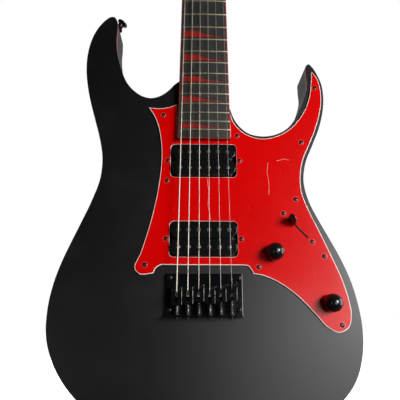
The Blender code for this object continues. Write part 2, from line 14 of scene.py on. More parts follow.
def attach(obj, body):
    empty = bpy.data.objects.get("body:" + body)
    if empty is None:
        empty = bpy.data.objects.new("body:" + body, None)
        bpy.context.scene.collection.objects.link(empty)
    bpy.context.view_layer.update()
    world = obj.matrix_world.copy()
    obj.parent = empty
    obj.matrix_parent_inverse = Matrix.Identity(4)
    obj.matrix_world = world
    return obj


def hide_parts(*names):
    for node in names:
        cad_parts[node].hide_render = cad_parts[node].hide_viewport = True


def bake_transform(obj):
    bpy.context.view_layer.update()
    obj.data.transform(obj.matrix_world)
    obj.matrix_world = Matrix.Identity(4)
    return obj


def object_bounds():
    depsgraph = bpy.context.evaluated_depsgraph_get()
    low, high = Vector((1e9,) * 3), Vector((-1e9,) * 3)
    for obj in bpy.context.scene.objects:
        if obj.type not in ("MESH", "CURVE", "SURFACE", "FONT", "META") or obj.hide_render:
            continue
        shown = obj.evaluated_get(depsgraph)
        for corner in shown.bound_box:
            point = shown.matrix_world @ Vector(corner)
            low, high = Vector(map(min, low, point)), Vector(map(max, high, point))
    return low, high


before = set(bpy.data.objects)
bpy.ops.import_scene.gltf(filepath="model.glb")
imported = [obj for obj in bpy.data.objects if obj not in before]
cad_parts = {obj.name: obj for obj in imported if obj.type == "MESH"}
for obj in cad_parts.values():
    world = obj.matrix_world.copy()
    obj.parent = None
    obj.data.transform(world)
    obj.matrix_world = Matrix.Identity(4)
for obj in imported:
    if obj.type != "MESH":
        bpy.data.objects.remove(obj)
cad_low, cad_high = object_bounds()

MM = 0.001
SCALE_LENGTH = 648
FRETS = 24
NUT_HALF_WIDTH = 21.0
NECK_TAPER = 0.0143
BOARD_END = 496
BOARD_THICKNESS = 6
BOARD_RADIUS = 400
BINDING = 1.6
BODY_FRONT, BODY_BACK = 3, 47
GROOVE_END = 8.3
BACK_ROUND = 1.9
POCKET_END, POCKET_FLOOR = 491.5, 16
GUARD_FRONT, GUARD_BACK = 0.7, 2.7
PLY = 0.3
NECK_PICKUP = (-0.3, -518.7)
BRIDGE_PICKUP = (-0.3, -602.6)
VOLUME = (70, -616.4)
TONE = (123.2, -665.6)
SWITCH = (95.3, -590.4)
SWITCH_TURN = math.radians(46.7)
SWITCH_PIVOT, SWITCH_LEAN = 26, math.radians(15.7)
BRIDGE_TOP, BRIDGE_END = -637.5, -679.6
STRING_ROW = -657.5
SADDLE_FRONT, SADDLE_LENGTH, SADDLE_SCREW = -11.2, 17.6, -5
LIP = 2.5
SADDLE_ENDS = (-651.0, -650.0, -647.8, -649.8, -648.1, -646.5)
STRING_RADII = (0.58, 0.46, 0.33, 0.22, 0.17, 0.13)
WOUND_STRINGS = 3
BRIDGE_PITCH, NUT_PITCH, NUT_STRING = 10.5, 7.1, -7.7
HEAD_TILT, HEAD_START, HEAD_DROP, HEAD_THICKNESS = 13, 5, 1.0, 14
PAINT_START, PAINT_BACK = 6, 13.55
FIRST_POST, POST_STEP, POST_OFFSET = 28, 25, 3.1
JACK_Z, JACK_Y, JACK_FACE = -690, 25, 150.1
UPPER_STRAP, LOWER_STRAP = (-103.74, 25, -340.5), (0, 25, -785.5)
GAP = 0.3
CAMERA_PLACE = (-10.7, -449.2, -690.8)
CAMERA_TURN = (105.97, -0.11, -0.88)
CAMERA_LENS = 40.93

# (x, z) points round each outline. A third value of 1 makes that point a sharp corner.
BODY_OUTLINE = (
    (-27.5, -423.5, 1), (-32.5, -427.6), (-39.1, -435.1), (-49.3, -442.4), (-58, -444.6), (-67, -442.7),
    (-77.1, -435.9), (-84.6, -427.3), (-90.4, -415.5), (-94.7, -402.3), (-98.2, -388), (-99.9, -372),
    (-99.7, -355), (-100.9, -344.6), (-104.3, -340.2), (-108.2, -340.2), (-113.8, -344.4), (-120.9, -353.6),
    (-127.2, -367.2), (-131.3, -386), (-131.8, -409), (-129, -430), (-124.2, -450.7), (-117.8, -472.3),
    (-111.4, -494.5), (-107.6, -515), (-108.4, -538), (-115.6, -562.5), (-124, -583.7), (-132.6, -604.4),
    (-140.8, -625.2), (-147.3, -647), (-151, -673), (-149.6, -699), (-142, -720.5), (-127, -742.8),
    (-104, -763), (-74, -776), (-38, -783.6), (0, -785.5), (36, -784.2), (70, -778.8), (100, -769.6),
    (126, -755.6), (142.6, -736), (150.6, -713), (152.8, -691), (151, -669), (145.3, -643.2),
    (137.3, -622), (128.3, -603.1), (117.9, -582.4), (109.2, -562.6), (104.9, -540), (107.6, -521.5),
    (116.5, -500), (124.6, -481), (130.2, -462), (132.8, -443), (131.2, -423.5), (126.4, -410.6),
    (122.5, -403.6), (118.7, -400.1), (115.7, -402.6), (115.1, -409), (115, -430), (111.6, -442.5),
    (104.7, -458.8), (99.2, -469.4), (90.5, -479.9), (78, -487), (63, -489.4), (48, -485.9),
    (38.5, -477.8), (33, -469.3), (28.8, -457.5, 1), (24, -452.5), (-21, -424),
)
GUARD_OUTLINE = (
    (-29, -452.8, 1), (-36.5, -456), (-45.2, -458), (-60, -457.3, 1), (-54, -466.7), (-49.4, -478.5),
    (-46.2, -493.5), (-44.7, -511), (-45.3, -531), (-47.9, -553), (-52, -575.4), (-57, -596.2),
    (-62.9, -616.6), (-68.1, -633.6), (-64.4, -637.5), (-50, -637.3, 1), (-47.4, -632), (-42.3, -628.9),
    (-37, -628.9, 1), (38, -628.9, 1), (43.6, -629.6), (47, -633.2), (49.2, -637.4, 1), (57.6, -638.7),
    (69.3, -643.4), (84.5, -652.8), (99.4, -666.5), (109.3, -677.6), (119.6, -688.6), (129.6, -692.9),
    (139, -688.2), (142.7, -676), (141.2, -661), (136.8, -643.5), (127.9, -620), (117.8, -595.5),
    (107, -570.2), (101.7, -553), (101.2, -538), (105, -517.6), (113, -499.5), (120.2, -482.9),
    (126.1, -465), (129.5, -446.8), (128.8, -428), (125.6, -417), (120.8, -410.9, 1), (119.6, -424),
    (116.4, -443.4), (110.4, -459.1), (102.5, -471.2), (90.7, -483.2), (77, -490.4), (63, -493),
    (50, -490.2), (39.4, -483.4), (32, -473.6), (28.8, -463.2, 1),
)
CONTROL_CAVITY = (
    (62, -600), (56, -606), (55, -620), (60, -630), (72, -637), (84, -644), (96, -655), (108, -668),
    (118, -680), (123, -686.5), (130, -688.5), (136, -685.5), (138.3, -677), (137, -662), (132.5, -647),
    (124.5, -634), (115.5, -625), (115, -616), (118.3, -607), (114, -594), (105, -575), (98, -566.5),
    (88, -562.5), (76, -567.5), (69, -580),
)
HEAD_OUTLINE = (
    (-20.6, -3, 1), (-21.8, 6), (-26.5, 13), (-36.6, 18.6), (-38.3, 22.6), (-33.7, 34.4), (2.6, 162.2),
    (8, 177), (19.5, 196, 1), (25.6, 178), (27.4, 158), (25.8, 130), (23.8, 90), (22.4, 40),
    (20.6, -3, 1),
)
GUARD_SCREWS = (
    (-43.9, -466.4), (-38.5, -541.1), (-58.6, -628.9), (35.7, -489.8), (104.2, -497.1), (123.2, -431.6),
    (94.6, -560.6), (120.3, -619.8), (132.6, -686.0), (54.2, -630.7),
)
# Creases in the guard's protective film.
FILM_CREASES = (
    ((67.5, -521), (66.2, -531), (67.8, -544), (67.2, -556)),
    ((3.2, -539), (5, -551), (4.2, -567), (6.8, -583)),
    ((77, -518.6), (84.8, -516.2), (90, -517.4)),
)
# Share of the fret space that an inlay fills, against the place across the board.
TOOTH = ((0.035, 1), (0.3, 1), (0.38, 0.86), (0.46, 0.62), (0.58, 0.36), (0.74, 0.16), (0.95, 0.02))


# Materials.

def look(name, colour, roughness, metallic=0.0, shade=0.12, grain=(60, 60, 60), wear=0.06, bump=0.02,
         coat=0.0, specular=0.5):
    """Material whose colour, roughness and surface vary with procedural noise.

    shade and wear are how far the colour and the roughness vary. grain is the noise's scale along each axis.
    """
    made = bpy.data.materials.new(name)
    made.use_nodes = True
    nodes, links = made.node_tree.nodes, made.node_tree.links
    shader = nodes["Principled BSDF"]
    shader.inputs["Metallic"].default_value = metallic
    shader.inputs["Coat Weight"].default_value = coat
    shader.inputs["Coat Roughness"].default_value = 0.06
    shader.inputs["Specular IOR Level"].default_value = specular
    place = nodes.new("ShaderNodeTexCoord")
    stretch = nodes.new("ShaderNodeMapping")
    stretch.inputs["Scale"].default_value = grain
    links.new(place.outputs["Object"], stretch.inputs["Vector"])
    broad = noise(made, stretch, 1, 4)
    fine = noise(made, stretch, 6, 3)
    tint = nodes.new("ShaderNodeValToRGB")
    tint.color_ramp.elements[0].position = 0.3
    tint.color_ramp.elements[1].position = 0.7
    tint.color_ramp.elements[0].color = (*[c * (1 - shade) for c in colour], 1)
    tint.color_ramp.elements[1].color = (*[min(1, c * (1 + shade)) for c in colour], 1)
    links.new(broad.outputs["Fac"], tint.inputs["Fac"])
    links.new(tint.outputs["Color"], shader.inputs["Base Color"])
    rough = nodes.new("ShaderNodeMapRange")
    rough.inputs["To Min"].default_value = max(0.02, roughness - wear)
    rough.inputs["To Max"].default_value = roughness + wear
    links.new(fine.outputs["Fac"], rough.inputs["Value"])
    links.new(rough.outputs["Result"], shader.inputs["Roughness"])
    relief = nodes.new("ShaderNodeBump")
    relief.name = "Relief"
    relief.inputs["Strength"].default_value = 1
    relief.inputs["Distance"].default_value = bump * MM
    links.new(fine.outputs["Fac"], relief.inputs["Height"])
    links.new(relief.outputs["Normal"], shader.inputs["Normal"])
    return made


def noise(made, stretch, scale, detail):
    """Noise texture in stretched object coordinates."""
    texture = made.node_tree.nodes.new("ShaderNodeTexNoise")
    texture.inputs["Scale"].default_value = scale
    texture.inputs["Detail"].default_value = detail
    made.node_tree.links.new(stretch.outputs["Vector"], texture.inputs["Vector"])
    return texture


def overlaid(made, colour, mask, low, high):
    """Lay a second colour over the base colour where a mask is high."""
    nodes, links = made.node_tree.nodes, made.node_tree.links
    shader = nodes["Principled BSDF"]
    under = shader.inputs["Base Color"].links[0].from_socket
    limit = nodes.new("ShaderNodeMapRange")
    limit.inputs["From Min"].default_value = low
    limit.inputs["From Max"].default_value = high
    mix = nodes.new("ShaderNodeMix")
    mix.data_type = "RGBA"
    links.new(mask, limit.inputs["Value"])
    links.new(limit.outputs["Result"], mix.inputs[0])
    links.new(under, mix.inputs[6])
    mix.inputs[7].default_value = (*colour, 1)
    links.new(mix.outputs[2], shader.inputs["Base Color"])


def scratched(made, colour, turn, length_scale, cut):
    """Add thin pale scratches in one direction."""
    nodes, links = made.node_tree.nodes, made.node_tree.links
    place = nodes.new("ShaderNodeTexCoord")
    stretch = nodes.new("ShaderNodeMapping")
    stretch.inputs["Rotation"].default_value = (0, turn, 0)
    stretch.inputs["Scale"].default_value = length_scale
    links.new(place.outputs["Object"], stretch.inputs["Vector"])
    streak = noise(made, stretch, 1, 2)
    overlaid(made, colour, streak.outputs["Fac"], cut, cut + 0.04)


def ribbed(made, pitch, depth, axis="Z"):
    """Add the fine round ribs of a wound string."""
    nodes, links = made.node_tree.nodes, made.node_tree.links
    place = nodes.new("ShaderNodeTexCoord")
    wave = nodes.new("ShaderNodeTexWave")
    wave.bands_direction = axis
    wave.inputs["Scale"].default_value = 0.314 / (pitch * MM)
    links.new(place.outputs["Object"], wave.inputs["Vector"])
    relief = nodes["Relief"]
    relief.inputs["Distance"].default_value = depth * MM
    links.new(wave.outputs["Fac"], relief.inputs["Height"])


def painted_head(made, colour, normal, start, back):
    """Paint the headstock, from a height start upwards, in front of a tilted plane."""
    nodes, links = made.node_tree.nodes, made.node_tree.links
    place = nodes.new("ShaderNodeTexCoord")
    limits = []
    for axis, low, high in ((normal, back + 0.0002, back), ((0, 0, 1), start, start + 0.0002)):
        distance = nodes.new("ShaderNodeVectorMath")
        distance.operation = "DOT_PRODUCT"
        distance.inputs[1].default_value = axis
        limit = nodes.new("ShaderNodeMapRange")
        limit.inputs["From Min"].default_value = low
        limit.inputs["From Max"].default_value = high
        links.new(place.outputs["Object"], distance.inputs[0])
        links.new(distance.outputs["Value"], limit.inputs["Value"])
        limits.append(limit.outputs["Result"])
    both = nodes.new("ShaderNodeMath")
    both.operation = "MINIMUM"
    links.new(limits[0], both.inputs[0])
    links.new(limits[1], both.inputs[1])
    overlaid(made, colour, both.outputs["Value"], 0.2, 0.8)


lacquer = look("black_satin_lacquer", (0.0026, 0.0027, 0.0027), 0.37, shade=0.25, grain=(25, 25, 25),
               wear=0.03, bump=0.006, specular=0.42)
overlaid(lacquer, (0.006, 0.006, 0.0059), lacquer.node_tree.nodes["Noise Texture"].outputs["Fac"], 0.55, 0.8)
red_film = look("red_gloss_plastic", (0.55, 0.0, 0.0), 0.2, shade=0.04, grain=(14, 14, 14), wear=0.03,
                bump=0.003, specular=0.25)
scratched(red_film, (0.82, 0.2, 0.19), 0.2, (700, 700, 26), 0.775)
scratched(red_film, (0.75, 0.1, 0.1), -0.9, (900, 900, 60), 0.765)
white_ply = look("white_ply", (0.78, 0.62, 0.57), 0.4, shade=0.06)
film_crease = look("pale_film_crease", (0.75, 0.2, 0.19), 0.3, shade=0.3, grain=(60, 60, 160))
film_edge = look("film_edge", (0.6, 0.05, 0.05), 0.3, shade=0.2, grain=(300, 300, 300))
red_edge = look("red_binding_plastic", (0.36, 0.008, 0.01), 0.33, shade=0.12, coat=0.2)
# Fretboard binding: the red binding with painted shade, its colour darkened to how its side looks in shade
shade_darkened_binding = look("red_binding_painted_shade", (0.17, 0.014, 0.01), 0.4, shade=0.2)
neck_look = look("maple_neck_painted_head", (0.5, 0.3, 0.135), 0.4, shade=0.16, grain=(140, 140, 7),
                 bump=0.015, coat=0.15)
rosewood = look("dark_board_wood", (0.0135, 0.0132, 0.0115), 0.5, shade=0.4, grain=(500, 500, 16),
                wear=0.1, bump=0.06, specular=0.45)
fret_wire = look("nickel_fret_wire", (0.46, 0.4, 0.27), 0.36, 1.0, shade=0.1, grain=(30, 400, 400))
tilt = math.radians(HEAD_TILT)
painted_head(neck_look, (0.005, 0.005, 0.0055), (0, math.cos(tilt), -math.sin(tilt)), PAINT_START * MM,
             PAINT_BACK * MM)
inlay_red = look("red_inlay_plastic", (0.24, 0.01, 0.008), 0.3, shade=0.25, grain=(120, 120, 300))
dot_white = look("white_side_dot", (0.75, 0.72, 0.66), 0.35)
black_bone = look("black_nut_plastic", (0.012, 0.012, 0.012), 0.35, shade=0.2)
gloss_black = look("black_gloss_plastic", (0.005, 0.005, 0.0055), 0.14, shade=0.2, wear=0.04, coat=0.3)
coil_tape = look("black_coil_tape", (0.012, 0.012, 0.012), 0.55, shade=0.3, grain=(300, 300, 300), bump=0.05)
black_metal = look("black_plated_metal", (0.011, 0.011, 0.012), 0.22, 0.55, shade=0.25, grain=(90, 90, 90),
                   wear=0.06, bump=0.01)
bridge_black = look("black_bridge_plating", (0.005, 0.005, 0.0055), 0.12, 0.35, shade=0.2,
                    grain=(90, 90, 90), wear=0.04, bump=0.01, coat=0.4)
knob_black = look("black_gloss_metal", (0.006, 0.006, 0.0065), 0.2, 0.1, shade=0.2, wear=0.03)
screw_black = look("black_screw_steel", (0.02, 0.02, 0.021), 0.19, 0.75, shade=0.25, grain=(300, 300, 300))
bare_steel = look("bare_steel", (0.42, 0.41, 0.4), 0.33, 1.0, shade=0.12, grain=(40, 400, 40))
pole_steel = look("pole_piece_steel", (0.09, 0.09, 0.087), 0.36, 1.0, shade=0.2, grain=(200, 200, 200))
yellow_brass = look("turned_brass", (0.62, 0.46, 0.2), 0.3, 1.0, shade=0.1, grain=(300, 40, 300))
wound = look("wound_nickel_string", (0.56, 0.53, 0.44), 0.42, 0.9, shade=0.12, grain=(300, 300, 300))
ribbed(wound, 0.26, 0.02)
plain = look("plain_steel_string", (0.5, 0.46, 0.42), 0.45, 0.7, shade=0.08, grain=(300, 300, 60), bump=0)
spring_steel = look("dark_spring_steel", (0.12, 0.118, 0.115), 0.34, 1.0, shade=0.15, grain=(200, 200, 200))
floor_look = look("pale_floor", (0.86, 0.86, 0.86), 0.7, shade=0.02, grain=(6, 6, 6))
floor_look.node_tree.nodes["Principled BSDF"].inputs["Emission Color"].default_value = (1, 1, 1, 1)
floor_look.node_tree.nodes["Principled BSDF"].inputs["Emission Strength"].default_value = 1.0


# Shapes.

def point(x, y, z):
    """Position in metres from millimetres."""
    return Vector((x, y, z)) * MM


def shift(x, y, z):
    """Matrix that moves by millimetres."""
    return Matrix.Translation(point(x, y, z))


def half_width(z):
    """Half the neck's width at height z."""
    return NUT_HALF_WIDTH + NECK_TAPER * abs(z)


def fret_height(number):
    """Height of a fret, from the scale length."""
    return -SCALE_LENGTH * (1 - 2 ** (-number / 12))


def board_face(x):
    """Depth of the cambered board's face at x."""
    return -BOARD_THICKNESS + x * x / (2 * BOARD_RADIUS)


def smooth_path(points, steps):
    """Closed curve through points, with straight-ended spans at the sharp ones."""
    places = np.array([p[:2] for p in points], float)
    sharp = [len(p) > 2 for p in points]
    spans = np.roll(places, -1, axis=0) - places
    lengths = np.linalg.norm(spans, axis=1)
    tangents = []
    for i in range(len(places)):
        before, after = lengths[i - 1], lengths[i]
        tangents.append((spans[i - 1] / before * after + spans[i] / after * before) / (before + after))
    path = []
    for i, start in enumerate(places):
        j = (i + 1) % len(places)
        if sharp[i] and sharp[j]:
            path.append(tuple(start))
            continue
        leave = spans[i] if sharp[i] else tangents[i] * lengths[i]
        arrive = spans[i] if sharp[j] else tangents[j] * lengths[i]
        for k in range(steps):
            t = k / steps
            near = (2 * t**3 - 3 * t**2 + 1) * start + (t**3 - 2 * t**2 + t) * leave
            far = (3 * t**2 - 2 * t**3) * places[j] + (t**3 - t**2) * arrive
            path.append(tuple(near + far))
    return path


def inset(path, distance):
    """Closed path moved inwards by a distance, with the same number of points."""
    places = np.array(path)
    spans = np.roll(places, -1, axis=0) - places
    spans /= np.linalg.norm(spans, axis=1)[:, None]
    normals = np.stack([-spans[:, 1], spans[:, 0]], axis=1)
    area = np.sum(places[:, 0] * np.roll(places[:, 1], -1) - places[:, 1] * np.roll(places[:, 0], -1))
    mitres = normals + np.roll(normals, 1, axis=0)
    mitres /= np.maximum(np.sum(mitres**2, axis=1), 1)[:, None] / 2
    return [tuple(p) for p in places + np.sign(area) * distance * mitres]


def rounded_box(width, height, radius, centre=(0, 0), steps=6):
    """Path of a rectangle with round corners."""
    path = []
    for corner, (sx, sz) in enumerate(((1, 1), (-1, 1), (-1, -1), (1, -1))):
        for k in range(steps + 1):
            angle = math.pi / 2 * (corner + k / steps)
            x = centre[0] + sx * (width / 2 - radius) + radius * math.cos(angle)
            z = centre[1] + sz * (height / 2 - radius) + radius * math.sin(angle)
            path.append((x, z))
    return path


def circle(radius, centre=(0, 0), steps=32):
    """Path of a circle."""
    turns = [2 * math.pi * k / steps for k in range(steps)]
    return [(centre[0] + radius * math.cos(t), centre[1] + radius * math.sin(t)) for t in turns]


def plate(loops, front, back, edge=0.0, rounds=1):
    """Mesh of a flat plate between two Y planes, its edges rounded. Loops after the first are its holes."""
    curve = bpy.data.curves.new("plate", "CURVE")
    curve.dimensions = "2D"
    curve.fill_mode = "BOTH"
    curve.extrude = ((back - front) / 2 - edge) * MM
    curve.bevel_depth = edge * MM
    curve.bevel_resolution = rounds
    curve.offset = -edge * MM
    for loop in loops:
        spline = curve.splines.new("POLY")
        spline.points.add(len(loop) - 1)
        for place, (x, z) in zip(spline.points, loop):
            place.co = (x * MM, z * MM, 0, 1)
        spline.use_cyclic_u = True
    holder = bpy.data.objects.new("plate", curve)
    mesh = bpy.data.meshes.new_from_object(holder)
    bm = bmesh.new()
    bm.from_mesh(mesh)
    bmesh.ops.remove_doubles(bm, verts=bm.verts, dist=1e-6)
    stand = shift(0, (front + back) / 2, 0) @ Matrix.Rotation(math.pi / 2, 4, "X")
    bmesh.ops.transform(bm, matrix=stand, verts=bm.verts)
    bpy.data.objects.remove(holder)
    bpy.data.curves.remove(curve)
    bpy.data.meshes.remove(mesh)
    return bm


def block(low, high, edge=0.0, rounds=2):
    """Mesh of a box between two corners, its edges rounded."""
    bm = bmesh.new()
    size = point(*high) - point(*low)
    middle = (point(*high) + point(*low)) / 2
    bmesh.ops.create_cube(bm, size=1, matrix=Matrix.Translation(middle) @ Matrix.Diagonal((*size, 1)))
    return softened(bm, edge, rounds) if edge else bm


def softened(bm, edge, rounds=2, sharper_than=30):
    """The mesh with its sharp edges rounded."""
    bmesh.ops.recalc_face_normals(bm, faces=bm.faces)
    bmesh.ops.dissolve_limit(bm, angle_limit=math.radians(1), verts=bm.verts, edges=bm.edges)
    sharp = [e for e in bm.edges if e.is_manifold and e.calc_face_angle(0) > math.radians(sharper_than)]
    bmesh.ops.bevel(bm, geom=sharp, offset=edge * MM, segments=rounds, profile=0.5, affect="EDGES",
                    clamp_overlap=True)
    return bm


def turned(profile, segments=40):
    """Mesh made by turning (radius, height) points about the local Z axis."""
    bm = bmesh.new()
    verts = [bm.verts.new(point(radius, 0, height)) for radius, height in profile]
    edges = [bm.edges.new(pair) for pair in zip(verts, verts[1:])]
    if profile[0][0] > 0:
        edges.append(bm.edges.new((verts[-1], verts[0])))
    bmesh.ops.spin(bm, geom=verts + edges, cent=(0, 0, 0), axis=(0, 0, 1), angle=2 * math.pi, steps=segments,
                   use_merge=True)
    bmesh.ops.remove_doubles(bm, verts=bm.verts, dist=1e-6)
    return bm


def loft(rings):
    """Mesh of a skin through rings of points, closed with a flat face at each end."""
    bm = bmesh.new()
    rows = [[bm.verts.new(place) for place in ring] for ring in rings]
    for lower, upper in zip(rows, rows[1:]):
        for k in range(len(lower)):
            j = (k + 1) % len(lower)
            bm.faces.new((lower[k], lower[j], upper[j], upper[k]))
    bm.faces.new(rows[0])
    bm.faces.new(rows[-1])
    return bm


def tube(path, radius, sides=12):
    """Mesh of a wire along a path in metres."""
    places = [Vector(p) for p in path]
    rings, across = [], None
    for i, place in enumerate(places):
        ahead = (places[min(i + 1, len(places) - 1)] - places[max(i - 1, 0)]).normalized()
        if across is None:
            across = ahead.orthogonal()
        across = (across - ahead * across.dot(ahead)).normalized()
        other = ahead.cross(across)
        turns = [2 * math.pi * k / sides for k in range(sides)]
        rings.append([place + (across * math.cos(t) + other * math.sin(t)) * radius * MM for t in turns])
    return loft(rings)


def coil(radius, start, end, turns, steps=20):
    """Path of a helix about the local Z axis, in metres."""
    count = int(turns * steps)
    return [point(radius * math.cos(2 * math.pi * k / steps), radius * math.sin(2 * math.pi * k / steps),
                  start + (end - start) * k / count) for k in range(count + 1)]


def moved(bm, matrix):
    """The same mesh, moved."""
    bmesh.ops.transform(bm, matrix=matrix, verts=bm.verts)
    return bm


def along(axis, place):
    """Matrix that turns local Z to an axis and moves the origin to a place."""
    turn = Vector((0, 0, 1)).rotation_difference(Vector(axis)).to_matrix().to_4x4()
    return shift(*place) @ turn


def gathered(meshes):
    """One mesh from several separate ones."""
    bm = bmesh.new()
    for other in meshes:
        mesh = bpy.data.meshes.new("piece")
        other.to_mesh(mesh)
        bm.from_mesh(mesh)
        bpy.data.meshes.remove(mesh)
    return bm


def copies(bm, matrices):
    """One mesh from copies of a mesh at several places."""
    return gathered([moved(bm.copy(), matrix) for matrix in matrices])


def combined(bm, *tools):
    """The mesh after Booleans with (operation, mesh) tools."""
    holders = []
    for mesh_part in (bm, *[tool for _, tool in tools]):
        bmesh.ops.recalc_face_normals(mesh_part, faces=mesh_part.faces)
        mesh = bpy.data.meshes.new("tool")
        mesh_part.to_mesh(mesh)
        holder = bpy.data.objects.new("tool", mesh)
        bpy.context.scene.collection.objects.link(holder)
        holders.append(holder)
    for holder, (operation, _) in zip(holders[1:], tools):
        boolean = holders[0].modifiers.new("cut", "BOOLEAN")
        boolean.object, boolean.operation, boolean.solver = holder, operation, "EXACT"
    graph = bpy.context.evaluated_depsgraph_get()
    mesh = bpy.data.meshes.new_from_object(holders[0].evaluated_get(graph))
    result = bmesh.new()
    result.from_mesh(mesh)
    bpy.data.meshes.remove(mesh)
    for holder in holders:
        data = holder.data
        bpy.data.objects.remove(holder)
        bpy.data.meshes.remove(data)
    return result


def cut(bm, *tools):
    """The mesh with other meshes cut from it."""
    return combined(bm, *[("DIFFERENCE", tool) for tool in tools])


def join(bm, *tools):
    """The mesh joined to other meshes."""
    return combined(bm, *[("UNION", tool) for tool in tools])


def piece(name, bm, finish, body, slot, *replaced, matrix=None, smooth_to=32, blend=None):
    """One visible piece, shaded smooth except across its sharp edges, riding on a CAD body."""
    bmesh.ops.recalc_face_normals(bm, faces=bm.faces)
    for face in bm.faces:
        face.smooth = True
    for edge in bm.edges:
        edge.smooth = edge.is_manifold and edge.calc_face_angle(0) < math.radians(smooth_to)
    mesh = bpy.data.meshes.new(name)
    bm.to_mesh(mesh)
    bm.free()
    mesh.materials.append(finish)
    mesh.transform(matrix or Matrix())
    obj = bpy.data.objects.new(name, mesh)
    bpy.context.scene.collection.objects.link(obj)
    if blend:
        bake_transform(obj)
    else:
        flat = obj.modifiers.new("flat_faces", "WEIGHTED_NORMAL")
        flat.keep_sharp = True
        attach(obj, body)
    if replaced:
        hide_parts(*replaced)
    return obj


def carried(finish, *names):
    """CAD nodes shown as they are, with a better material and softened edges."""
    for name in names:
        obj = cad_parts[name]
        obj.data.materials.clear()
        obj.data.materials.append(finish)
        for face in obj.data.polygons:
            face.use_smooth = True
        weld = obj.modifiers.new("weld", "WELD")
        weld.merge_threshold = 1e-6
        bevel = obj.modifiers.new("edges", "BEVEL")
        bevel.width = 0.2 * MM
        bevel.segments = 2
        bevel.limit_method = "ANGLE"
        bevel.angle_limit = math.radians(40)
        bevel.harden_normals = True


HEAD = shift(0, HEAD_DROP, HEAD_START) @ Matrix.Rotation(math.radians(-HEAD_TILT), 4, "X")
BACKWARD = Matrix.Rotation(-math.pi / 2, 4, "X")
nut_slots = [(i - 2.5) * NUT_PITCH for i in range(6)]
saddle_lines = [(i - 2.5) * BRIDGE_PITCH for i in range(6)]
post_places = [(x - POST_OFFSET, FIRST_POST + POST_STEP * i) for i, x in enumerate(nut_slots)]


def screw_head(radius, rise=1.0, slot="cross"):
    """Screw head with a domed top towards local -Z, and its drive recess."""
    dome = [(0, -rise)]
    for k in range(1, 7):
        turn = math.pi / 2 * k / 6
        dome.append((radius * math.sin(turn), -rise * math.cos(turn)))
    bm = turned([*dome, (radius, 0.3), (radius * 0.5, 0.9), (0, 0.9)], 28)
    depth = rise * 0.2
    if slot == "hex":
        recess = turned([(0, -rise - 1), (radius * 0.5, -rise - 1), (radius * 0.5, depth), (0, depth)], 6)
        return cut(bm, recess)
    arms = [block((-radius * 0.62, -radius * 0.13, -rise - 1), (radius * 0.62, radius * 0.13, depth))]
    if slot == "cross":
        arms.append(block((-radius * 0.13, -radius * 0.62, -rise - 1), (radius * 0.13, radius * 0.62, depth)))
    return cut(bm, *arms)


def facing_front(places, y, turn=0.4):
    """Matrices that stand a screw head on a Y plane at (x, z) places, each turned a little further."""
    return [shift(x, y, z) @ BACKWARD @ Matrix.Rotation(turn * (k + 1) * 1.7, 4, "Z")
            for k, (x, z) in enumerate(places)]


# Body and its binding.
outline = smooth_path(BODY_OUTLINE, 6)
sides = [
    (BODY_FRONT, 0.3), (BODY_FRONT + 0.1, 0.1), (BODY_FRONT + 0.4, 0), (BODY_FRONT + 0.45, 1.55),
    (GROOVE_END - 0.05, 1.55), (GROOVE_END, 0),
]
for k in range(6):
    turn = math.pi / 2 * k / 5
    sides.append((BODY_BACK - BACK_ROUND * (1 - math.sin(turn)), BACK_ROUND * (1 - math.cos(turn))))
body_bm = loft([[point(x, y, z) for x, z in inset(outline, d)] for y, d in sides])
belly = bmesh.new()
bmesh.ops.create_uvsphere(belly, u_segments=72, v_segments=48, radius=1)
tilted = shift(-122, 52, -572) @ Matrix.Rotation(math.radians(14), 4, "Y")
moved(belly, tilted @ Matrix.Diagonal((*point(64, 19, 128), 1)))
pocket = [
    (-half_width(400) - GAP, -400), (half_width(400) + GAP, -400),
    (half_width(POCKET_END) + GAP, -POCKET_END), (-half_width(POCKET_END) - GAP, -POCKET_END),
]
cavities = []
for x, z in (NECK_PICKUP, BRIDGE_PICKUP):
    cavities.append(block((x - 36.6, -5, z - 19.6), (x + 36.6, 22, z + 19.6)))
    cavities.append(block((x - 42.2, -5, z - 7.5), (x + 42.2, 21.6, z + 7.5)))
ferrule_bore = turned([(0, -10), (2.5, -10), (2.5, 42), (4, 42), (4, 60), (0, 60)], 24)
jack_line = along((1, 0, 0), (JACK_FACE, JACK_Y, JACK_Z))
body_bm = cut(
    body_bm, belly, plate([pocket], -5, POCKET_FLOOR), *cavities, plate([CONTROL_CAVITY], -5, 38),
    block((-12, -5, -590), (12, 12, -530)), block((30, -5, -612), (66, 14, -601)),
    copies(ferrule_bore, [shift(x, 0, STRING_ROW) @ BACKWARD for x in saddle_lines]),
    moved(turned([(0, -38), (6.3, -38), (6.3, 8), (0, 8)], 32), jack_line),
    block((JACK_FACE, JACK_Y - 14.3, JACK_Z - 18.3), (170, JACK_Y + 14.3, JACK_Z + 18.3)),
)
piece("body_wood", body_bm, lacquer, "guitar", "body", "body")
binding_bm = plate([outline, inset(outline, 1.5)], BODY_FRONT + 0.47, GROOVE_END - 0.07, edge=0.12, rounds=1)
piece("body_edge_binding", cut(binding_bm, plate([pocket], -5, POCKET_FLOOR)), red_edge, "guitar",
      "body_binding", "body_binding")

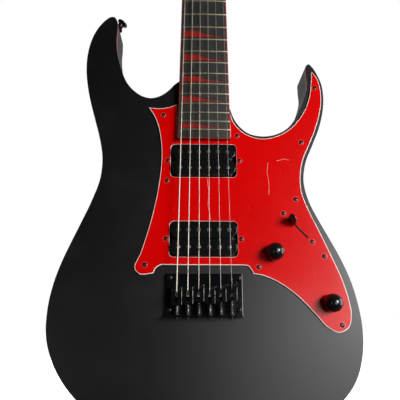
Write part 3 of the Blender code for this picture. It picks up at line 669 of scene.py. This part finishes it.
# Neck: a C section that squares up at the nut and at the heel, with the headstock joined on.
neck_rings = []
for z, depth, squareness in (
    (HEAD_START, 12.6, 7), (-3, 12.7, 5.2), (-8, 12.8, 4.1), (-15, 13, 3.3), (-22, 13.2, 2.9),
    (-34, 13.4, 2.5), (-50, 13.6, 2.3), (-105, 13.9, 2.25), (-160, 14.2, 2.25), (-240, 14.6, 2.25),
    (-324, 15, 2.3), (-392, 15.3, 2.4),
    (-404, 15.5, 2.7), (-414, 15.6, 3.2), (-420, 15.65, 4.6), (-426, 15.7, 7), (-434, 15.7, 20),
    (-POCKET_END + GAP, 15.7, 20),
):
    ring = []
    for k in range(37):
        turn = math.pi * k / 36
        side = math.copysign(abs(math.cos(turn)) ** (2 / squareness), math.cos(turn))
        ring.append(point(half_width(min(z, 0)) * side, depth * math.sin(turn) ** (2 / squareness), z))
    neck_rings.append(ring)
head_bm = moved(plate([smooth_path(HEAD_OUTLINE, 8)], 0, HEAD_THICKNESS, edge=1.0, rounds=2), HEAD)
post_bore = turned([(0, -10), (5, -10), (5, 30), (0, 30)], 28)
neck_bm = cut(
    join(loft(neck_rings), head_bm),
    block((-3.4, -2, -455), (3.4, 9.9, 26)), block((-5.6, -6, 7), (5.6, 11.2, 26)),
    copies(post_bore, [HEAD @ shift(x, 0, v) @ BACKWARD for x, v in post_places]),
)
piece("neck_wood", neck_bm, neck_look, "guitar", "neck", "neck")

# Truss rod cover, nut and the neck's fixings.
cover = [(-9, 2, 1), (9, 2, 1), (10.4, 8), (6, 24), (0, 33.5), (-6, 24), (-10.4, 8)]
cover_bm = moved(plate([smooth_path(cover, 8)], -1.9, -GAP, edge=0.4, rounds=2), HEAD)
piece("rod_cover", cover_bm, gloss_black, "guitar", "truss_rod_cover", "truss_rod_cover")
cover_places = facing_front([(-6.6, 6), (6.6, 6), (0, 26)], -2.0)
cover_screws = copies(screw_head(1.7, 0.8), [HEAD @ place for place in cover_places])
piece("rod_cover_screws", cover_screws, screw_black, "guitar", "truss_rod_cover")
nut_bm = block((-21, -8.5, GAP), (21, -GAP, HEAD_START - 0.4), edge=0.5)
nut_cuts = [block((x - r - 0.12, -10, -2), (x + r + 0.12, NUT_STRING + r + 0.1, 8))
            for x, r in zip(nut_slots, STRING_RADII)]
piece("string_nut", cut(nut_bm, gathered(nut_cuts)), black_bone, "guitar", "nut", "nut")
heel_plate = [(-24, -434), (24, -462.5), (24, -497), (-24, -497)]
plate_bm = plate([heel_plate], BODY_BACK + GAP, BODY_BACK + 2.2, edge=0.5, rounds=2)
piece("heel_plate", plate_bm, black_metal, "guitar", "neck_plate", "neck_plate")
bolts = [shift(x, BODY_BACK + 2.3, z) @ Matrix.Rotation(math.pi / 2, 4, "X")
         for x, z in ((-18, -446), (17.5, -467), (18, -490), (-18, -490))]
piece("heel_bolts", copies(screw_head(4.3, 1.8), bolts), screw_black, "guitar", "neck_plate")

# Fretboard: cambered board, frets over the binding, red tooth inlays and side dots.
board_end = -BOARD_END + BINDING
board_rings = []
for z in [-0.2, *[fret_height(n) for n in range(1, FRETS + 1, 3)], board_end - 0.1]:
    width = half_width(z) - BINDING
    top = [point(x, board_face(x), z) for x in [width * (1 - k / 14) for k in range(29)]]
    board_rings.append([point(width, -GAP, z), *top, point(-width, -GAP, z)])
piece("fretboard_wood", loft(board_rings), rosewood, "guitar", "fretboard", "fretboard")
strip = [
    (half_width(0), 0), (half_width(BOARD_END), -BOARD_END), (-half_width(BOARD_END), -BOARD_END),
    (-half_width(0), 0), (-half_width(0) + BINDING, 0), (-half_width(BOARD_END) + BINDING, board_end),
    (half_width(BOARD_END) - BINDING, board_end), (half_width(0) - BINDING, 0),
]
piece("fretboard_edge_binding", plate([strip], -5.15, -GAP, edge=0.2), shade_darkened_binding, "guitar",
      "fretboard_binding", "fretboard_binding")

fret_meshes = []
for number in range(1, FRETS + 1):
    z = fret_height(number)
    reach = half_width(z) - 0.15
    rings = []
    for share in (-1, -0.985, -0.965, *[k / 8 for k in range(-7, 8)], 0.965, 0.985, 1):
        x = share * reach
        rise = 1.1 * min(1, 0.35 + (1 - abs(share)) * 24)
        arch = [point(x, board_face(x) + 0.15 - (rise + 0.15) * math.sin(math.pi * k / 8),
                      z + 1.15 * math.cos(math.pi * k / 8)) for k in range(9)]
        rings.append(arch)
    fret_meshes.append(loft(rings))
piece("frets", gathered(fret_meshes), fret_wire, "guitar", "fretboard")


def tooth(number):
    """Inlay in the space before a fret, thinning out towards the treble side."""
    top, bottom = fret_height(number - 1), fret_height(number)
    low = bottom + 0.21 * (top - bottom)
    high = bottom + 0.72 * (top - bottom)
    width = half_width(low) - BINDING
    rings = []
    shares, heights = zip(*TOOTH)
    for share in np.linspace(shares[0], shares[-1], 40):
        x = width * (2 * share - 1)
        y = board_face(x)
        reach = low + np.interp(share, shares, heights) * (high - low)
        rings.append([point(x, y - 0.04, low), point(x, y - 0.04, reach), point(x, y + 0.3, reach),
                      point(x, y + 0.3, low)])
    return loft(rings)


inlays = [tooth(n) for n in (3, 5, 7, 9, 12, 15, 17, 19, 21, 24)]
piece("tooth_inlays", gathered(inlays), inlay_red, "guitar", "fretboard")
dots = []
for number in (3, 5, 7, 9, 12, 12, 15, 17, 19, 21, 24, 24):
    z = (fret_height(number) + fret_height(number - 1)) / 2
    offset = 2.2 * (len(dots) % 2 * 2 - 1) if number in (12, 24) else 0
    dots.append(along((-1, 0, 0), (-half_width(z) - 0.03, -2.6, z + offset)))
dot = turned([(0, 0.05), (0.95, 0.05), (1.0, 0), (1.0, -0.3), (0, -0.3)], 20)
piece("side_dots", copies(dot, dots), dot_white, "guitar", "fretboard_binding")

# Pickguard: a thin red ply on a white core whose edge shows all round, screws and film creases.
guard = smooth_path(GUARD_OUTLINE, 6)
slot_end = half_width(POCKET_END) + GAP
guard += [(slot_end, -POCKET_END), (-slot_end, -POCKET_END)]
switch_axis = Matrix.Rotation(SWITCH_TURN, 4, "Y")
switch_slot = [shift(SWITCH[0], 0, SWITCH[1]) @ switch_axis @ point(x, 0, z)
               for x, z in rounded_box(29.2, 1.8, 0.85, steps=4)]
openings = [
    rounded_box(69.4, 36.8, 4.5, NECK_PICKUP), rounded_box(68.8, 36.4, 4.5, BRIDGE_PICKUP),
    circle(4.9, VOLUME), circle(4.9, TONE), [(p.x / MM, p.z / MM) for p in switch_slot],
]
sizes = [0.35, 0.35, 0.2, 0.2, 0.12]
top_loops = [inset(guard, 0.75)] + [inset(loop, -size) for loop, size in zip(openings, sizes)]
height_screws = [(x + side * 37.9, z) for x, z in (NECK_PICKUP, BRIDGE_PICKUP) for side in (-1, 1)]
switch_screws = [
    (SWITCH[0] + side * 20 * math.cos(SWITCH_TURN), SWITCH[1] - side * 20 * math.sin(SWITCH_TURN))
    for side in (-1, 1)
]
all_screws = [*GUARD_SCREWS, *height_screws, *switch_screws]
sinks = turned([(0, -3), (2.8, -3), (2.8, 0), (2.6, 0.2), (0, 0.2)], 24)
sink_places = [shift(x, GUARD_FRONT, z) @ BACKWARD for x, z in all_screws]
red_bm = cut(plate(top_loops, GUARD_FRONT, GUARD_FRONT + PLY, edge=0.12), copies(sinks, sink_places))
piece("guard_red_ply", red_bm, red_film, "guitar", "pickguard", "pickguard")
core_loops = [guard, *openings]
core_bm = plate(core_loops, GUARD_FRONT + PLY + 0.01, GUARD_BACK, edge=0.2, rounds=1)
piece("guard_white_core", core_bm, white_ply, "guitar", "pickguard")
rim = turned([(2.45, -0.06), (2.95, -0.04), (2.95, 0.1), (2.45, 0.1)], 28)
piece("guard_film_rims", copies(rim, sink_places), film_edge, "guitar", "pickguard")
creases = [tube([point(x, GUARD_FRONT + 0.1, z) for x, z in crease], 0.32, 8) for crease in FILM_CREASES]
piece("guard_film_creases", gathered(creases), film_crease, "guitar", "pickguard")
heads = screw_head(2.55, 0.9)
for name, places, slot in (
    ("guard_screws", GUARD_SCREWS, "pickguard"),
    ("pickup_height_screws", height_screws, "pickguard"),
    ("switch_screws", switch_screws, "switch_frame"),
):
    piece(name, copies(heads, facing_front(places, GUARD_FRONT + 0.2)), screw_black, "guitar", slot)

# Pickups: two bobbins each, with a wound coil, slugs in the upper one and screws in the lower one.
pole_screw = screw_head(2.3, 0.45, slot="single")
slug = turned([(0, -0.25), (2.0, -0.25), (2.35, 0), (2.35, 1), (0, 1)], 28)
for label, (x, z), pitch in (("neck", NECK_PICKUP, 9.9), ("bridge", BRIDGE_PICKUP, 10.25)):
    place = shift(x, 0, z)
    body = f"{label}_pickup"
    flanges, coils = [], []
    for centre in (8.7, -8.7):
        flanges.append(plate([rounded_box(66.6, 16.8, 8, (0, centre), 10)], -2.8, -1.3, edge=0.45, rounds=2))
        flanges.append(plate([rounded_box(63, 15.8, 7, (0, centre), 10)], 7.6, 8.7, edge=0.2))
        coils.append(plate([rounded_box(61, 13, 6, (0, centre), 10)], -1.25, 7.55, edge=0.3))
    node = f"{label}_pickup_bobbins"
    piece(f"{label}_bobbin_frames", gathered(flanges), gloss_black, body, node, node, matrix=place)
    piece(f"{label}_coils", gathered(coils), coil_tape, body, node, matrix=place)
    poles = [(k - 2.5) * pitch for k in range(6)]
    slugs = copies(slug, [shift(p, -2.85, 8.7) @ BACKWARD for p in poles])
    piece(f"{label}_slugs", slugs, pole_steel, body, node, matrix=place)
    screws = copies(pole_screw, facing_front([(p, -8.7) for p in poles], -2.7, 0.9))
    piece(f"{label}_pole_screws", screws, pole_steel, body, node, matrix=place)

# Switch tip, volume and tone knobs. The rest of both pots and of the switch is carried over.
switch = shift(SWITCH[0], 0, SWITCH[1]) @ Matrix.Rotation(SWITCH_TURN, 4, "Y")
lever_line = switch @ shift(0, SWITCH_PIVOT, 0) @ Matrix.Rotation(-SWITCH_LEAN, 4, "Z")
tip_rings = []
for y, width, thick in ((-28, 8.6, 4.8), (-28.5, 9.3, 5.4), (-30, 9.7, 5.6), (-33, 9.7, 5.5), (-36, 9, 5.2),
                        (-39, 7.7, 4.6), (-41.2, 6.5, 4), (-42.2, 5.2, 3.2), (-42.6, 3.4, 2)):
    tip_rings.append([point(x, y, z) for x, z in rounded_box(width, thick, min(width, thick) / 2.5, steps=6)])
tip_bm = cut(loft(tip_rings), block((-2.3, -31.8, -0.9), (2.3, -20, 0.9)))
piece("switch_tip_cap", tip_bm, gloss_black, "switch", "switch_tip", "switch_tip", matrix=lever_line)
knob = [
    (0, -17.4), (1.4, -17.3), (2.9, -16.95), (4.4, -16.3), (5.8, -15.35), (7, -14.1), (7.9, -12.5),
    (8.45, -10.8), (8.72, -9), (8.8, -6.8), (8.8, -1.2), (8.65, -0.6), (8.3, -0.25), (7.8, -0.2), (7.5, -0.4),
    (7.5, -3), (3.3, -3), (3.3, -13.8), (0, -13.8),
]
grub_bore = along((0.3, -0.954, 0), (0, 0, -5))
for label, (x, z) in (("volume", VOLUME), ("tone", TONE)):
    place = shift(x, 0, z) @ BACKWARD
    bore = moved(turned([(0, 7), (1.3, 7), (1.3, 12), (0, 12)], 20), grub_bore)
    piece(f"{label}_dome", cut(turned(knob, 64), bore), knob_black, label, f"{label}_knob", f"{label}_knob",
          matrix=place)
    grub = moved(turned([(0, 6), (1.1, 6), (1.1, 7.8), (0.6, 7.9), (0.6, 7.2), (0, 7.2)], 6), grub_bore)
    piece(f"{label}_grub_screw", grub, screw_black, label, f"{label}_knob", matrix=place)
carried(bare_steel, "volume_pot", "tone_pot", "switch_frame", "switch_lever", "truss_rod")
carried(yellow_brass, "volume_shaft", "tone_shaft")
carried(black_metal, "neck_pickup_base", "bridge_pickup_base")

# Bridge: plate and lip, saddles with their height screws, intonation screws and springs.
deck = block((-37.5, -0.8, BRIDGE_END), (37.5, GUARD_BACK, BRIDGE_TOP), edge=0.45)
lip = block((-37.5, -8.2, BRIDGE_END), (37.5, 1, BRIDGE_END + LIP), edge=0.6)
plate_bores = [shift(x, 0, STRING_ROW) @ BACKWARD for x in saddle_lines]
lip_bores = [shift(x, SADDLE_SCREW, BRIDGE_END + 1) for x in saddle_lines]
bridge_bm = cut(
    join(deck, lip), copies(turned([(0, -10), (2, -10), (2, 10), (0, 10)], 24), plate_bores),
    copies(turned([(0, -5), (1.6, -5), (1.6, 5), (0, 5)], 24), lip_bores),
)
piece("bridge_base", bridge_bm, bridge_black, "guitar", "bridge_plate", "bridge_plate")
corners = [(-33.8, -641.6), (33.8, -641.6), (-33.8, -672), (33.8, -672)]
piece("bridge_screws", copies(screw_head(2.9, 1.1), facing_front(corners, -0.9)), screw_black, "guitar",
      "bridge_plate")
saddle_view = [
    (-1.1, -0.4), (-10.6, 0), (-11, -0.3), (SADDLE_FRONT, -1), (SADDLE_FRONT, -17),
    (-10.4, -SADDLE_LENGTH), (-1.1, -SADDLE_LENGTH),
]
height_bore = turned([(0, -14), (1.75, -14), (1.75, -9), (0, -9)], 24)
height_screw = turned([
    (0, -9.6), (0.75, -9.6), (0.75, -11.3), (1.2, -11.35), (1.5, -11.1), (1.55, -10.6), (1.55, -1), (0, -1),
], 24)
screw_bore = turned([(0, -20), (1.35, -20), (1.35, -10), (0, -10)], 20)
for i, (x, z) in enumerate(zip(saddle_lines, SADDLE_ENDS)):
    place = shift(x, 0, z)
    front_bores = [shift(side * 3.35, 0, -3.4) @ BACKWARD for side in (-1, 1)]
    saddle_bm = softened(loft([[point(s, y, v) for y, v in saddle_view] for s in (-5.05, 5.05)]), 0.35)
    saddle_bm = cut(saddle_bm, block((-1.2, -20, -14.8), (1.2, 5, -1.8)), copies(height_bore, front_bores),
                    moved(screw_bore, shift(0, SADDLE_SCREW, 0)))
    node, body = f"saddle_{i + 1}", f"saddle_{i + 1}"
    piece(f"{node}_block", saddle_bm, bridge_black, body, node, node, matrix=place)
    piece(f"{node}_height_screws", copies(height_screw, front_bores), screw_black, body, node, matrix=place)
    lip_top = BRIDGE_END + LIP
    gap_end = z - SADDLE_LENGTH
    screw = turned([
        (0, BRIDGE_END - 0.9), (2.1, BRIDGE_END - 0.9), (2.5, BRIDGE_END - 0.4), (2.5, BRIDGE_END - 0.1),
        (1.25, BRIDGE_END - 0.1), (1.25, gap_end + 3), (0, gap_end + 3),
    ], 24)
    piece(f"{node}_length_screw", moved(screw, shift(x, SADDLE_SCREW, 0)), screw_black, "guitar", node)
    winding = moved(tube(coil(2.35, lip_top + 0.1, gap_end - 0.1, 9), 0.34, 8), shift(x, SADDLE_SCREW, 0))
    piece(f"{node}_spring", winding, spring_steel, "guitar", node,
          blend=(body, point(x, SADDLE_SCREW, lip_top + 0.1), point(x, SADDLE_SCREW, gap_end - 0.1)))
ferrule = turned([(2.1, 42.2), (3.85, 42.2), (3.85, 46.9), (3.4, 47.2), (2.6, 47.2), (2.1, 46.6)], 32)
ferrule_places = [shift(x, 0, STRING_ROW) @ BACKWARD for x in saddle_lines]
piece("string_ferrules", copies(ferrule, ferrule_places), black_metal, "guitar", "body")

# Strings: from the body's back over saddle and nut to the posts, then wound round them.
for i, radius in enumerate(STRING_RADII):
    x, z = saddle_lines[i], SADDLE_ENDS[i]
    post_v = post_places[i][1]
    over = SADDLE_FRONT - radius - 0.15
    knots = [
        (x, 43.5, STRING_ROW), (x, -4.5, STRING_ROW), (x, -6.0, STRING_ROW + 0.2),
        (x, -7.4, STRING_ROW + 1.4),
        (x, over + 1.3, z - 6), (x, over + 0.35, z - 5), (x, over, z - 4), (nut_slots[i], NUT_STRING, GAP),
        (nut_slots[i], NUT_STRING, HEAD_START - 0.8),
    ]
    path = [point(*knot) for knot in knots]
    path += [HEAD @ point(nut_slots[i], -5.4, post_v), HEAD @ point(nut_slots[i], -5.4, post_v + 1.5)]
    wire = wound if i < WOUND_STRINGS else plain
    node = f"string_{i + 1}"
    piece(f"{node}_wire", tube(path, radius, 14), wire, "guitar", node, node)

# Tuners: local -X points to the bass side, +Y to the back and +Z along the row of posts.
row = math.atan2(NUT_PITCH, POST_STEP)
post = [
    (0, -13.1), (0.9, -13.1), (0.9, -13.4), (2.5, -13.5), (2.85, -13.3), (3, -12.9), (3, -8), (2.75, -7.4),
    (2.45, -6.9), (2.4, -6.2), (2.4, -4), (2.5, -3.2), (2.8, -2.6), (3, -2.3), (3, 20), (0, 20),
]
bush = [(6.1, -1.9), (6.4, -1.6), (6.4, -GAP), (4.7, -GAP), (4.7, 15), (3.3, 15), (3.3, -1.9)]
worm = [
    (0, 5.4), (2, 5.4), (2, 9.5), (3.2, 9.5), (3.4, 9.7), (3.4, 10.8), (3.1, 11.2), (2, 12), (2, 19), (0, 19),
]
button_sizes = (
    (17.6, 7, 5), (18.3, 11.5, 5.5), (19, 15, 6), (20.4, 18.2, 6.5), (22, 20, 6.8), (24, 20.4, 6.9),
    (26, 20, 6.6), (27.6, 18.4, 6.1), (29, 15.5, 5.4), (29.8, 12.4, 4.4), (30.2, 9, 3.4),
)
worm_bore = turned([(0, 5), (2.4, 5), (2.4, 12), (0, 12)], 24)
key_line = shift(0, HEAD_THICKNESS + 4.9, -5.9) @ Matrix.Rotation(-math.pi / 2, 4, "Y")
for i, (x, v) in enumerate(post_places):
    tuner = HEAD @ shift(x, 0, v) @ Matrix.Rotation(row, 4, "Y")
    case = plate([rounded_box(18, 15.5, 3, (0, -1.4), 8), circle(3.3, steps=28)], HEAD_THICKNESS + GAP,
                 HEAD_THICKNESS + 9.5, edge=0.7, rounds=3)
    case = cut(join(case, moved(turned(bush, 36), BACKWARD)), moved(worm_bore.copy(), key_line))
    number = i + 1
    node = f"tuner_housing_{number}"
    piece(f"tuner_case_{number}", case, black_metal, "guitar", node, node, matrix=tuner)
    case_screw = shift(5.8, HEAD_THICKNESS + 9.5, -6) @ Matrix.Rotation(math.pi / 2, 4, "X")
    small_screw = moved(screw_head(1.5, 0.6), case_screw)
    piece(f"tuner_screw_{number}", small_screw, screw_black, "guitar", node, matrix=tuner)
    nut_bm = softened(plate([circle(6.0, steps=6), circle(3.4, steps=28)], -3.9, -1.95), 0.25)
    piece(f"tuner_nut_{number}", nut_bm, black_metal, "guitar", node, matrix=tuner)
    node = f"tuner_post_{number}"
    post_bm = cut(turned(post, 40), block((-0.5, -4, -14), (0.5, 4, -9.6)))
    piece(f"tuner_shaft_{number}", post_bm, black_metal, f"post_{number}", node, node,
          matrix=tuner @ BACKWARD)
    radius = STRING_RADII[i]
    turns = 3.4 if i < WOUND_STRINGS else 5.4
    wrap = tube(coil(2.42 + radius, -6.3, -6.3 + turns * radius * 2.1, turns, 28), radius, 10)
    wire = wound if i < WOUND_STRINGS else plain
    piece(f"string_wraps_{number}", wrap, wire, f"post_{number}", node, matrix=tuner @ BACKWARD)
    node = f"tuner_key_{number}"
    paddle = loft([[point(a, b, height) for a, b in rounded_box(wide, thick, min(wide, thick) / 2.2, steps=6)]
                   for height, wide, thick in button_sizes])
    key_bm = join(turned(worm, 32), moved(paddle, Matrix.Rotation(math.pi / 2, 4, "Z")))
    piece(f"tuner_handle_{number}", key_bm, black_metal, f"key_{number}", node, node, matrix=tuner @ key_line)

# Output jack and strap buttons.
jack = shift(JACK_FACE, JACK_Y, JACK_Z) @ Matrix.Rotation(-math.pi / 2, 4, "Z")
jack_bm = moved(plate([rounded_box(28, 36, 4, steps=8), circle(6.1)], 0, 1.5, edge=0.35, rounds=2),
                Matrix.Rotation(math.pi, 4, "Z") @ shift(0, -1.8, 0))
piece("jack_cover", jack_bm, black_metal, "guitar", "jack_plate", "jack_plate", matrix=jack)
socket = [
    (3.3, 4.4), (5.4, 4.4), (5.6, 4.2), (5.6, 4), (7.4, 4), (7.6, 3.8), (7.6, 2.1), (5.7, 2.1), (5.7, -28),
    (3, -28), (3, -26.8), (3.3, -26.6),
]
piece("jack_barrel", turned(socket, 40), bare_steel, "guitar", "jack_socket", "jack_socket", matrix=jack_line)
plate_screws = [jack_line @ shift(along_x, along_y, 1.9) @ Matrix.Rotation(math.pi, 4, "X")
                for along_x, along_y in ((-14, 9.5), (14, -9.5))]
piece("jack_screws", copies(screw_head(1.9, 0.8), plate_screws), screw_black, "guitar", "jack_plate")
peg = [
    (0, 0.3), (5.7, 0.3), (5.9, 0.5), (5.75, 1.2), (5.2, 1.9), (4.3, 2.9), (3.8, 3.8), (3.55, 5), (3.55, 6.3),
    (3.95, 7.3), (4.8, 8), (5.8, 8.6), (6.4, 9.1), (6.5, 9.5), (6.4, 10.1), (6, 10.6), (5.4, 10.8),
    (3.2, 10.8), (2.4, 10.2), (0, 10.2),
]
for name, axis, place in (
    ("upper", (0.56, 0, 0.828), UPPER_STRAP),
    ("lower", (0, 0, -1), LOWER_STRAP),
):
    stand = along(axis, place)
    node = f"strap_button_{name}"
    piece(f"strap_peg_{name}", turned(peg, 44), black_metal, "guitar", node, node, matrix=stand)
    cap = moved(screw_head(2.3, 0.45), shift(0, 0, 10.3) @ Matrix.Rotation(math.pi, 4, "X"))
    piece(f"strap_screw_{name}", cap, screw_black, "guitar", node, matrix=stand)

# Floor, sky, lamps and camera.
floor = bpy.data.objects.new("floor", bpy.data.meshes.new("floor"))
floor_bm = bmesh.new()
floor_place = Matrix.Translation((0, 0, cad_low[2]))
bmesh.ops.create_grid(floor_bm, x_segments=8, y_segments=8, size=40, matrix=floor_place)
floor_bm.to_mesh(floor.data)
floor_bm.free()
floor.data.materials.append(floor_look)
bpy.context.scene.collection.objects.link(floor)
floor.visible_glossy = False
floor.visible_diffuse = False

world = bpy.data.worlds.new("studio")
bpy.context.scene.world = world
world.use_nodes = True
nodes, links = world.node_tree.nodes, world.node_tree.links
direction = nodes.new("ShaderNodeTexCoord")
split = nodes.new("ShaderNodeSeparateXYZ")
links.new(direction.outputs["Generated"], split.inputs["Vector"])
depth = nodes.new("ShaderNodeMapRange")
depth.inputs["From Min"].default_value = -0.3
depth.inputs["From Max"].default_value = 0.9
depth.inputs["To Min"].default_value = 0.01
depth.inputs["To Max"].default_value = 0.4
links.new(split.outputs["Y"], depth.inputs["Value"])
seen = nodes.new("ShaderNodeLightPath")
choice = nodes.new("ShaderNodeMath")
choice.operation = "MAXIMUM"
links.new(depth.outputs["Result"], choice.inputs[0])
links.new(seen.outputs["Is Camera Ray"], choice.inputs[1])
links.new(choice.outputs["Value"], nodes["Background"].inputs["Strength"])
nodes["Background"].inputs["Color"].default_value = (1, 1, 1, 1)


def lamp(name, place, target, size, watts):
    """Soft rectangular lamp at a place in millimetres, facing a target. Its size is in metres."""
    data = bpy.data.lights.new(name, "AREA")
    data.shape = "RECTANGLE"
    data.size, data.size_y = size
    data.energy = watts
    light = bpy.data.objects.new(name, data)
    bpy.context.scene.collection.objects.link(light)
    light.rotation_euler = (point(*target) - point(*place)).to_track_quat("-Z", "Y").to_euler()
    light.location = point(*place)


lamp("key_lamp", (1000, -1300, -350), (40, 0, -560), (0.6, 0.6), 33)
lamp("fill_lamp", (-620, -1000, -860), (-100, 0, -740), (0.15, 0.4), 0.45)
lamp("lower_lamp", (560, -1400, -860), (80, 0, -700), (0.7, 0.6), 5.2)
lamp("back_lamp", (-800, 1300, -900), (0, 40, -500), (1.0, 1.0), 22)
lamp("side_lamp", (1500, 0, -500), (150, 25, -600), (0.9, 1.2), 16)

camera = bpy.data.objects.new("camera", bpy.data.cameras.new("camera"))
bpy.context.scene.collection.objects.link(camera)
camera.location = point(*CAMERA_PLACE)
camera.rotation_euler = [math.radians(turn) for turn in CAMERA_TURN]
camera.data.lens = CAMERA_LENS
camera.data.sensor_width = 36
camera.data.clip_start = 0.01
bpy.context.scene.camera = camera
bpy.context.scene.view_settings.view_transform = "Standard"
